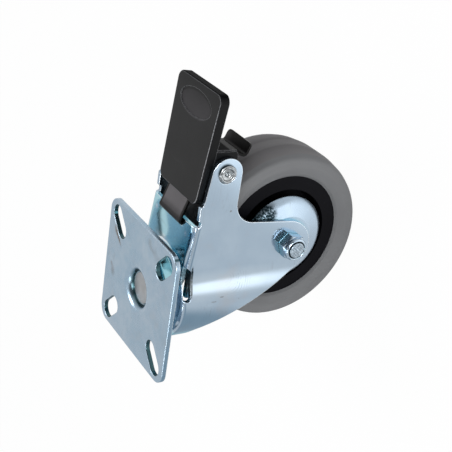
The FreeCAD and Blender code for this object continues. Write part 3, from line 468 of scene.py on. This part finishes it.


# Colour and roughness drift with coarse noise, fine noise gives the grain, and edges may be painted pale as
# wear and painted highlight.
def simpleFinish(name, colour, spread, metallic, roughness, fineScale, coarseScale, height, wearAndHighlight=None,
                 **extra):
    material, tree, shader, place = startMaterial(name, colour, metallic, roughness, **extra)
    look = useGroup(tree, edges, Radius=0.0004, Gain=2.0, Depth=0.006)
    skin = useGroup(tree, grain, Place=place, Fine_Scale=fineScale, Coarse_Scale=coarseScale, Height=height,
                    Normal=look["Normal"])
    low = tuple(c * (1 - spread) for c in colour)
    high = tuple(min(1, c * (1 + spread)) for c in colour)
    shade = ramp(tree, skin["Coarse"], [(0.3, low), (0.7, high)])
    if wearAndHighlight:
        shade = colourMix(tree, look["Edge"], shade, wearAndHighlight)
    tree.links.new(shade, shader.inputs["Base Color"])
    tree.links.new(slope(tree, skin["Fine"], 0.2, 0.8, roughness * 0.85, roughness * 1.15),
                   shader.inputs["Roughness"])
    tree.links.new(skin["Normal"], shader.inputs["Normal"])
    return material


# The plate is duller than the fork, mottled, and its slots' walls get painted shade.
def plateFinish():
    tint = {"wall": (0.050, 0.105, 0.120), "dull": (0.90, 0.955, 0.975), "clear": (1, 1, 1)}
    material = zincFinish("zincPlateFace", plateMarks, 0.18, 0.22)
    tree = material.node_tree
    shader = tree.nodes["Principled BSDF"]
    place = tree.nodes["Texture Coordinate"].outputs["Object"]
    colour = shader.inputs["Base Color"].links[0].from_socket
    cloud = useGroup(tree, grain, Place=place, Fine_Scale=240, Coarse_Scale=28, Height=0.0)
    for mask, start, end in (("Coarse", 0.38, 0.60), ("Fine", 0.3, 0.6)):
        mottle = ramp(tree, cloud[mask], [(start, tint["dull"]), (end, tint["clear"])])
        colour = colourMix(tree, 1.0, colour, mottle, "MULTIPLY")
    tree.links.new(colourMix(tree, plateWalls(tree, place), colour, tint["wall"]), shader.inputs["Base Color"])
    return material


# Black moulded plastic: the pad's upward face is scuffed grey and lighter as painted light, its recess a
# little paler, and the sides painted black as shade, with wear and painted highlight along the rims. The wall
# under the pad hardly shines, because it lies deep in the pad's shade.
def pedalFinish():
    pedal = {"face": (0.0125, 0.0125, 0.0128), "oval": (0.0330, 0.0310, 0.0335),
             "side": (0.0022, 0.0024, 0.0028), "scuff": (0.035, 0.035, 0.036), "wearAndHighlight": (0.26, 0.26, 0.27),
             "ovalPlace": (0.1036, 0, -0.018), "ovalReach": (0.0066, 0.0158, 0.05), "shine": 0.13,
             "shadedShine": 0.008}
    material, tree, shader, place = startMaterial("pedalPlastic", pedal["face"], 0.0, 0.40,
                                                  Specular_IOR_Level=pedal["shine"])
    look = useGroup(tree, edges, Radius=0.0006, Gain=2.6, Depth=0.006)
    skin = useGroup(tree, grain, Place=place, Fine_Scale=1300, Coarse_Scale=60, Height=0.00003,
                    Normal=look["Normal"])
    up = axisOf(tree, ownNormal(tree), 2)
    depth = mathNode(tree, "MULTIPLY", axisOf(tree, place, 2), -10)
    high = slope(tree, depth, 0.212, 0.228, 1, 0)
    # Painted light and shade: faces that look up take the lit face colour, the others the shaded side colour.
    litFacing = mathNode(tree, "MULTIPLY", slope(tree, up, 0.80, 0.97), high)
    # A painted highlight along the pad's rounded rims.
    rimHighlight = ramp(tree, up, [(0.55, grey(0)), (0.70, grey(1)), (0.80, grey(1)), (0.93, grey(0))])
    oval = spot(tree, place, pedal["ovalPlace"], pedal["ovalReach"], 0.04)
    face = colourMix(tree, oval, pedal["face"], pedal["oval"])
    lines = useGroup(tree, scratches, Place=place, Turn=(0.1, 1.52, 0.0), Width=0.008)["Line"]
    face = colourMix(tree, mathNode(tree, "MULTIPLY", lines, 0.5), face, pedal["scuff"])
    face = colourMix(tree, 1.0, face, slope(tree, skin["Coarse"], 0.3, 0.7, 0.82, 1.12), "MULTIPLY")
    colour = colourMix(tree, litFacing, pedal["side"], face)
    shaded = mathNode(tree, "MULTIPLY", slope(tree, axisOf(tree, ownNormal(tree), 0), 0.5, 0.8),
                      slope(tree, depth, 0.328, 0.338, 1, 0))
    # Edge wear and the rims' painted highlight, broken up by the fine grain.
    edgeWearAndHighlight = mathNode(tree, "MAXIMUM", look["Edge"], mathNode(tree, "MULTIPLY", rimHighlight, high))
    edgeWearAndHighlight = mathNode(tree, "MULTIPLY", edgeWearAndHighlight, slope(tree, skin["Fine"], 0.35, 0.55, 0.35, 1))
    tree.links.new(colourMix(tree, edgeWearAndHighlight, colour, pedal["wearAndHighlight"]), shader.inputs["Base Color"])
    tree.links.new(slope(tree, shaded, 0, 1, pedal["shine"], pedal["shadedShine"]),
                   shader.inputs["Specular IOR Level"])
    tree.links.new(slope(tree, skin["Fine"], 0.2, 0.8, 0.34, 0.46), shader.inputs["Roughness"])
    tree.links.new(skin["Normal"], shader.inputs["Normal"])
    return material


# The strip is blackened steel: lighter over its middle as painted sheen, painted black as shade along its
# sides and at the bend over the hook, and as dark reflection at the end over the tyre, with a painted dull
# glint at the end's far corner.
def stripFinish():
    strip = {"open": (0.084, 0.079, 0.084), "black": (0.003, 0.003, 0.003), "wearAndHighlight": (0.14, 0.13, 0.13),
             "glintPlace": (0.0822, 0.0112, -0.0494), "glintReach": (0.0035, 0.0058, 0.0030),
             "glintShare": 0.55}
    material, tree, shader, place = startMaterial("stripSteel", strip["open"], 0.6, 0.38,
                                                  Specular_IOR_Level=0.3)
    look = useGroup(tree, edges, Radius=0.0004, Gain=2.0, Depth=0.006)
    skin = useGroup(tree, grain, Place=place, Fine_Scale=900, Coarse_Scale=60, Height=0.00001,
                    Normal=look["Normal"])
    across = mathNode(tree, "MULTIPLY", mathNode(tree, "ABSOLUTE", axisOf(tree, place, 1)), 50)
    sides = slope(tree, across, 0.490, 0.510)
    along = mathNode(tree, "MULTIPLY", axisOf(tree, place, 0), 10)
    bend = ramp(tree, along, [(0.430, grey(1)), (0.456, grey(0.9)), (0.470, grey(0.45)), (0.500, grey(0)),
                              (0.60, grey(0.1)), (0.70, grey(1))], smooth=True)
    colour = colourMix(tree, 1.0, strip["open"], slope(tree, skin["Coarse"], 0.3, 0.7, 0.88, 1.12),
                       "MULTIPLY")
    colour = colourMix(tree, look["Edge"], colour, strip["wearAndHighlight"])
    # Painted shade along the sides and at the bend, and a painted dark reflection at the end.
    colour = colourMix(tree, mathNode(tree, "MAXIMUM", sides, bend), colour, strip["black"])
    # A painted glint at the end's far corner.
    glint = spot(tree, place, strip["glintPlace"], strip["glintReach"], 1.0)
    glint = mathNode(tree, "MULTIPLY", glint, strip["glintShare"])
    tree.links.new(colourMix(tree, glint, colour, strip["open"]), shader.inputs["Base Color"])
    tree.links.new(slope(tree, skin["Fine"], 0.2, 0.8, 0.32, 0.44), shader.inputs["Roughness"])
    tree.links.new(skin["Normal"], shader.inputs["Normal"])
    return material


# Each mark on the near leg, followed by the same one on the far leg.
def bothLegs(*marks):
    return [((x, side * y, z), *rest) for (x, y, z), *rest in marks for side in (1, -1)]


placeCamera()
lightStudio()
print("camera and studio ready")

# Stains towards the plate's far side, and light on the dish's wall.
plateMarks = [((0.0180, 0.0272, 0), (0.0075, 0.0013, 0.004), 0.90, 1.3, "brown"),
              ((0.0205, 0.0300, 0), (0.0035, 0.0022, 0.004), 0.6, 0.8, "brown"),
              ((-0.0045, 0.0295, 0), (0.0042, 0.0032, 0.004), 0.3, 0.55, "brown"),
              ((-0.0012, 0.0318, 0), (0.0020, 0.0022, 0.004), 0, 0.5, "brown"),
              ((0, 0, -0.0046), (0.0128, 0.0128, 0.0042), 0, 0.75, "wearAndHighlight")]
# The window's painted shade and its inside painted dark, a painted highlight for the knob by the deck and the
# leg's band of painted highlight.
forkMarks = bothLegs(((0.0128, -0.0210, -0.0160), (0.0115, 0.0048, 0.0036), 0, 1.2, "shade"),
                     ((0.0138, -0.0240, -0.0188), (0.0108, 0.0060, 0.0011), 0, 1.4, "paintedDark"),
                     ((0.0398, -0.0167, -0.0159), (0.0020, 0.0020, 0.0020), 0, 1.0, "wearAndHighlight"),
                     ((0.0118, -0.0260, -0.0380), (0.0094, 0.012, 0.052), 0, 0.24, "wearAndHighlight"))
# Three small scratches on the near leg.
forkMarks += [((0.0025, -0.0279, -0.0327), (0.0006, 0.001, 0.0018), 0, 0.8, "scratch"),
              ((0.0047, -0.0276, -0.0374), (0.0005, 0.001, 0.0014), 0, 0.8, "scratch"),
              ((0.0540, -0.0242, -0.0365), (0.0008, 0.001, 0.0008), 0, 0.8, "scratch")]
# Painted shade round the pin's end, a painted highlight on the brim by the plate's edge and painted light on
# the window's lower wall.
forkMarks += bothLegs(((0.0762, -0.0242, -0.0299), (0.0052, 0.0008, 0.0052), 0, 1.0, "deepShade"))
forkMarks += [((0.0272, 0.0035, -0.0140), (0.0034, 0.0110, 0.0028), 0, 1.0, "wearAndHighlight")]
forkMarks += bothLegs(((0.0138, -0.0228, -0.0217), (0.0104, 0.0014, 0.0010), 0, 0.75, "wearAndHighlight"))
# A patch of painted dark reflection on the near guard's dome.
guardMarks = [((0.0468, -0.0195, -0.0600), (0.0078, 0.005, 0.0098), 0, 1.25, "paintedDark")]
# Edges get no painted highlight and no wear at the windows' ends, and across the fork at the windows' height.
forkCalm = [((0.0045, -0.0235, -0.0180), (0.0050, 0.0060, 0.0060)),
            ((0.0045, 0.0235, -0.0180), (0.0050, 0.0060, 0.0060)),
            ((0.0135, 0, -0.0165), (0.0150, 0.060, 0.0055))]
finishes = {
    "zinc": zincFinish("zincPressed", forkMarks, 0.95, 0.12, insideLegs, forkCalm),
    "rivet": simpleFinish("rivetSteel", (0.385, 0.395, 0.405), 0.10, 1.0, 0.36, 900, 240, 0.00001),
    "bearing_steel": simpleFinish("bearingSteel", (0.72, 0.73, 0.75), 0.03, 1.0, 0.18, 900, 80, 0.000002),
    "cage": simpleFinish("cageBrass", (0.66, 0.52, 0.3), 0.05, 1.0, 0.35, 900, 80, 0.000004),
    "nylon": simpleFinish("nutNylon", (0.006, 0.010, 0.012), 0.05, 0.0, 0.45, 900, 80, 0.00001,
                          Specular_IOR_Level=0.1),
    "pedal_plastic": pedalFinish(),
    "strip_steel": stripFinish(),
    "core_plastic": simpleFinish("corePlastic", (0.0028, 0.0028, 0.0040), 0.1, 0.0, 0.42, 1500, 60, 0.00001,
                                 Specular_IOR_Level=0.045),
    "tyre": simpleFinish("tyreRubber", (0.165, 0.17, 0.175), 0.03, 0.0, 0.75, 2500, 40, 0.00002,
                         Specular_IOR_Level=0.25),
    "pinSteel": simpleFinish("pinSteel", (0.33, 0.35, 0.36), 0.35, 1.0, 0.16, 2600, 900, 0.00002,
                             wearAndHighlight=(0.85, 0.90, 0.93)),
    "boltSteel": simpleFinish("boltEndSteel", (0.34, 0.41, 0.47), 0.45, 1.0, 0.2, 1500, 520, 0.00012),
}
for part in frame["record"]["subparts"]:
    mesh = nodes[part["node"]].data
    mesh.materials.clear()
    mesh.materials.append(finishes[part["material_slot"]])
plateMesh = nodes["top_plate"].data
plateMesh.materials.clear()
plateMesh.materials.append(plateFinish())
print("finishes on the frame's nodes")


# A smooth mesh from a grid of points that closes along its second parameter: rows go from one end of the
# profile to the other, and the last row joins the first where the profile is a loop. Ends on the axis
# close to one point. The faces are turned outwards by the sign of the volume, and edges that bend by more
# than the sharp angle, in degrees, stay hard.
def gridPiece(name, grid, loop, finish, body, sharp=32):
    rows, columns = grid.shape[:2]
    i = np.arange(rows if loop else rows - 1)[:, None]
    j = np.arange(columns)[None, :]
    ahead, beside = (i + 1) % rows, (j + 1) % columns
    quads = np.stack([i * columns + j, ahead * columns + j, ahead * columns + beside, i * columns + beside],
                     axis=-1).reshape(-1, 4)
    points = grid.reshape(-1, 3)
    a, b, c, d = [points[quads[:, k]] for k in range(4)]
    volume = np.einsum("ij,ij->i", a, np.cross(b, c)).sum() + np.einsum("ij,ij->i", a, np.cross(c, d)).sum()
    if volume < 0:
        quads = quads[:, ::-1]
    mesh = bpy.data.meshes.new(name)
    mesh.from_pydata(points.tolist(), [], quads.tolist())
    work = bmesh.new()
    work.from_mesh(mesh)
    bmesh.ops.remove_doubles(work, verts=work.verts, dist=1e-7)
    bmesh.ops.dissolve_degenerate(work, edges=work.edges, dist=1e-8)
    work.to_mesh(mesh)
    work.free()
    mesh.shade_smooth()
    mesh.set_sharp_from_angle(angle=math.radians(sharp))
    mesh.materials.append(finish)
    piece = bpy.data.objects.new(name, mesh)
    scene.collection.objects.link(piece)
    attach(piece, body)
    return piece


# A profile of corners (radius, height, round): each round corner becomes an arc that touches both sides.
# The arc's distance from its corner is round times the tangent of half the bend, and its middle has the
# weight of the cosine of half the bend.
def roundedProfile(corners, loop=True, steps=7):
    spots = np.array([c[:2] for c in corners], float)
    path = []
    for k, corner in enumerate(corners):
        size = corner[2] if len(corner) > 2 else 0
        if not size or (not loop and k in (0, len(corners) - 1)):
            path.append(spots[k:k + 1])
            continue
        into = spots[k] - spots[k - 1]
        out = spots[(k + 1) % len(corners)] - spots[k]
        into, out = into / np.hypot(*into), out / np.hypot(*out)
        bend = math.acos(float(np.clip(into @ out, -1, 1)))
        trim = size * math.tan(bend / 2)
        t = np.linspace(0, 1, steps)[:, None]
        ends = spots[k] - into * trim, spots[k] + out * trim
        weight = math.cos(bend / 2)
        blend = (1 - t) ** 2 + 2 * weight * t * (1 - t) + t ** 2
        path.append(((1 - t) ** 2 * ends[0] + 2 * weight * t * (1 - t) * spots[k] + t ** 2 * ends[1]) / blend)
    return np.vstack(path)


# The profile carried round an axis along Y: x = cx + r cos a, y = cy + height, z = cz + r sin a.
def turned(profile, centre, columns):
    angle = np.linspace(0, 2 * math.pi, columns, endpoint=False)[None, :]
    r, h = profile[:, :1] * mm, profile[:, 1:] * mm
    return np.stack([centre[0] + r * np.cos(angle), centre[1] + h + 0 * angle, centre[2] + r * np.sin(angle)],
                    axis=-1)


# Mirrors a profile in the middle plane, so that it becomes a loop.
def bothSides(half):
    return np.vstack([half, (half * (1, -1))[::-1]])


# The tyre is a rounded side, a crease and a slightly crowned tread with a moulding line round its middle.
def makeTyre():
    tyre = {"side": [(36.2, -15.1), (37.4, -16.4, 0.8), (42, -18.4, 5), (47.4, -18.1, 2.5),
                     (48.9, -13.9, 0.35)],
            "tread": [(49.95, -7.0, 6), (50.0, -0.35), (49.96, -0.12)], "columns": 200}
    half = roundedProfile(tyre["side"] + tyre["tread"], loop=False)
    piece = gridPiece("tyreBody", turned(bothSides(half), axle, tyre["columns"]), True, tyreFinish(),
                      "wheel", sharp=20)
    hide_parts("tyre")


# Grey elastomer: a cool grey side, and a warmer, darker tread with two soft bands of painted shade and painted
# light along its middle and near its creases.
def tyreFinish():
    rubber = {"side": (0.138, 0.139, 0.142), "tread": (0.136, 0.130, 0.132), "band": (0.102, 0.097, 0.099),
              "treadLightBand": (0.150, 0.143, 0.145), "wander": 0.0016}
    material, tree, shader, place = startMaterial("tyreElastomer", rubber["side"], 0.0, 0.62,
                                                  Specular_IOR_Level=0.28)
    skin = useGroup(tree, grain, Place=place, Fine_Scale=1800, Coarse_Scale=35, Height=0.000012)
    width = mathNode(tree, "ABSOLUTE", axisOf(tree, place, 1))
    wander = mathNode(tree, "MULTIPLY", mathNode(tree, "SUBTRACT", skin["Coarse"], 0.5), rubber["wander"])
    across = mathNode(tree, "MULTIPLY", mathNode(tree, "ADD", width, wander), 50.0)
    # Painted light at the tread's middle and near the creases, and two bands of painted shade between.
    tread = ramp(tree, across, [(0.0, rubber["treadLightBand"]), (0.16, rubber["tread"]), (0.22, rubber["band"]),
                                (0.50, rubber["tread"]), (0.64, rubber["treadLightBand"])])
    edge = slope(tree, mathNode(tree, "MULTIPLY", width, 50.0), 0.685, 0.735, smooth=True)
    colour = colourMix(tree, edge, tread, rubber["side"])
    dust = slope(tree, skin["Coarse"], 0.35, 0.68, 0.93, 1.05)
    tree.links.new(colourMix(tree, 1.0, colour, dust, "MULTIPLY"), shader.inputs["Base Color"])
    tree.links.new(slope(tree, skin["Coarse"], 0.3, 0.7, 0.55, 0.7), shader.inputs["Roughness"])
    tree.links.new(skin["Normal"], shader.inputs["Normal"])
    return material


# A thread guard is a flat disc that steps down to a dome with a turned lip.
def makeGuards():
    guard = {"corners": [(4.1, -21.7), (15.2, -21.7, 1.0), (17.2, -20.9, 1.6), (22.6, -19.3, 7),
                         (25.6, -16.0, 0.4), (24.6, -16.0), (21.9, -18.4, 6), (16.6, -19.9, 0.9),
                         (14.8, -20.7, 0.8), (4.1, -20.7)], "columns": 160}
    profile = roundedProfile(guard["corners"])
    finish = zincFinish("zincGuard", guardMarks, 0.5, 0.24)
    for side, sign in (("near", 1), ("far", -1)):
        piece = gridPiece("guard_" + side, turned(profile * (1, sign), axle, guard["columns"]), True,
                          finish, "fork", sharp=38)
        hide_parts("thread_guard_" + side)


# The lock nut: at each height its radius is the smaller of a turned profile and of the hexagon's reach
# at that angle, joined smoothly, so that the chamfer cuts the corners in arcs. The hexagon's reach is
# half the width across flats over the cosine of the angle from the middle of the nearest flat. A nylon
# ring lies in its end.
def makeNut():
    nut = {"flats": 13.0, "turn": 18.0, "joint": 0.10, "columns": 180, "ringColumns": 64,
           "profile": [(4.0, 0), (6.1, 0), (7.45, 0.35, 0.2), (7.9, 0.75, 0.3), (7.9, 4.5, 0.3),
                       (6.9, 5.3, 0.4), (6.5, 5.45, 0.25), (6.5, 7.1, 0.25), (6.05, 7.75, 0.3),
                       (5.6, 8.0, 0.3), (5.2, 7.95, 0.2), (5.05, 7.5, 0.15), (5.05, 6.8), (4.0, 6.8)],
           "ring": [(4.0, -31.3), (4.0, -31.05), (5.0, -31.05), (5.0, -31.3)]}
    profile = roundedProfile(nut["profile"])
    angle = np.linspace(0, 2 * math.pi, nut["columns"], endpoint=False)[None, :]
    sector = math.radians(60)
    turn = (angle - math.radians(nut["turn"] + 30) + sector / 2) % sector - sector / 2
    reach = nut["flats"] / 2 / np.cos(turn)
    r = profile[:, :1] + 0 * angle
    k = nut["joint"]
    r = -k * np.logaddexp(-r / k, -reach / k)
    y = -legFace - profile[:, 1:] + 0 * angle
    grid = np.stack([axle[0] + r * mm * np.cos(angle), y * mm, axle[2] + r * mm * np.sin(angle)], axis=-1)
    piece = gridPiece("lockNut", grid, True, zincFinish("zincNut", tealShare=1.0, roughness=0.11),
                      "fork", sharp=40)
    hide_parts("axle_nut")
    ring = turned(np.array(nut["ring"]), axle, nut["ringColumns"])
    insert = gridPiece("nutRing", ring, True, finishes["nylon"], "fork")
    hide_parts("nut_insert")


# The bolt's end: a shallow dome with a turned rim and sheared dents, as a height over radius and angle.
# The dome and the dents fade out towards the rim by one less the fourth power of the share of the radius.
def makeBoltEnd():
    end = {"radius": 4.4, "face": -32.5, "proud": 0.02, "dome": 0.10, "dent": 0.10, "depth": 1.1,
           "rings": 26, "columns": 96}
    r = np.linspace(0, 1, end["rings"])[:, None] * end["radius"]
    angle = np.linspace(0, 2 * math.pi, end["columns"], endpoint=False)[None, :]
    x, z = r * np.cos(angle), r * np.sin(angle)
    dents = np.sin(2.3 * x + 0.8) * np.cos(2.9 * z - 0.5) + 0.6 * np.sin(4.1 * x - 3.3 * z)
    fade = 1 - (r / end["radius"]) ** 4
    y = end["face"] - end["proud"] - end["dome"] * fade - end["dent"] * dents * fade
    base = end["face"] + end["depth"] + 0 * x
    top, under = [np.stack([axle[0] + x * mm, h * mm, axle[2] + z * mm], axis=-1) for h in (y, base)]
    gridPiece("boltEnd", np.concatenate([top, under[::-1]]), False, finishes["boltSteel"], "fork",
              sharp=60)


# The pin's ends: a rolled rim about a dimple, turned round the pivot.
def makePinEnds():
    pin = {"profile": [(0, -23.45), (0.9, -23.5, 0.4), (1.7, -24.1, 0.4), (2.9, -24.3, 0.2),
                       (3.3, -24.95, 0.15), (3.65, -25.15, 0.15), (4.0, -25.1, 0.15), (4.4, -24.55, 0.2),
                       (4.85, -24.45, 0.1), (4.9, -24.25)],
           "root": (0, -23.35), "columns": 72}
    profile = np.vstack([roundedProfile(pin["profile"], loop=False), [pin["root"]]])
    for side, sign in (("near", 1), ("far", -1)):
        gridPiece("pinEnd_" + side, turned(profile * (1, sign), pivot, pin["columns"]), False,
                  finishes["pinSteel"], "fork", sharp=50)


# Inside each window of the fork a turned-in lip closes the view, as the pressed edge does: its section
# bends inwards from the leg in a quarter circle and is carried along the window.
def makeWindowLips():
    lip = {"start": 3.6, "end": 24.2, "top": -18.3, "leg": 21.75, "reach": 3.0, "thick": 0.8, "bend": 1.3,
           "hem": 2.2, "steps": 8, "rows": 12}
    turn = np.linspace(0, math.pi / 2, lip["steps"])
    centre = lip["leg"] - lip["bend"], lip["top"] - lip["bend"]
    outer, inner = [np.stack([centre[0] + radius * np.cos(turn), centre[1] + radius * np.sin(turn)], axis=1)
                    for radius in (lip["bend"], lip["bend"] - lip["thick"])]
    tip, foot = lip["leg"] - lip["reach"], lip["top"] - lip["hem"]
    section = np.vstack([[(lip["leg"], foot)], outer, [(tip, lip["top"]), (tip, lip["top"] - lip["thick"])],
                         inner[::-1], [(lip["leg"] - lip["thick"], foot)]])
    along = np.linspace(lip["start"], lip["end"], lip["rows"])
    x = along[:, None] + 0 * section[None, :, 0]
    for side, sign in (("near", -1), ("far", 1)):
        y, z = sign * section[None, :, 0] + 0 * x, section[None, :, 1] + 0 * x
        grid = np.stack([x, y, z], axis=-1) * mm
        first, last = [np.repeat(row.mean(axis=0)[None, None, :], len(section), axis=1)
                       for row in (grid[0], grid[-1])]
        gridPiece("windowLip_" + side, np.concatenate([first, grid, last]), False, finishes["zinc"],
                  "fork")


makeTyre()
makeGuards()
makeNut()
makeBoltEnd()
makePinEnds()
makeWindowLips()
print("wheel pieces, nut and bolt end")

scene.view_settings.view_transform = "Standard"
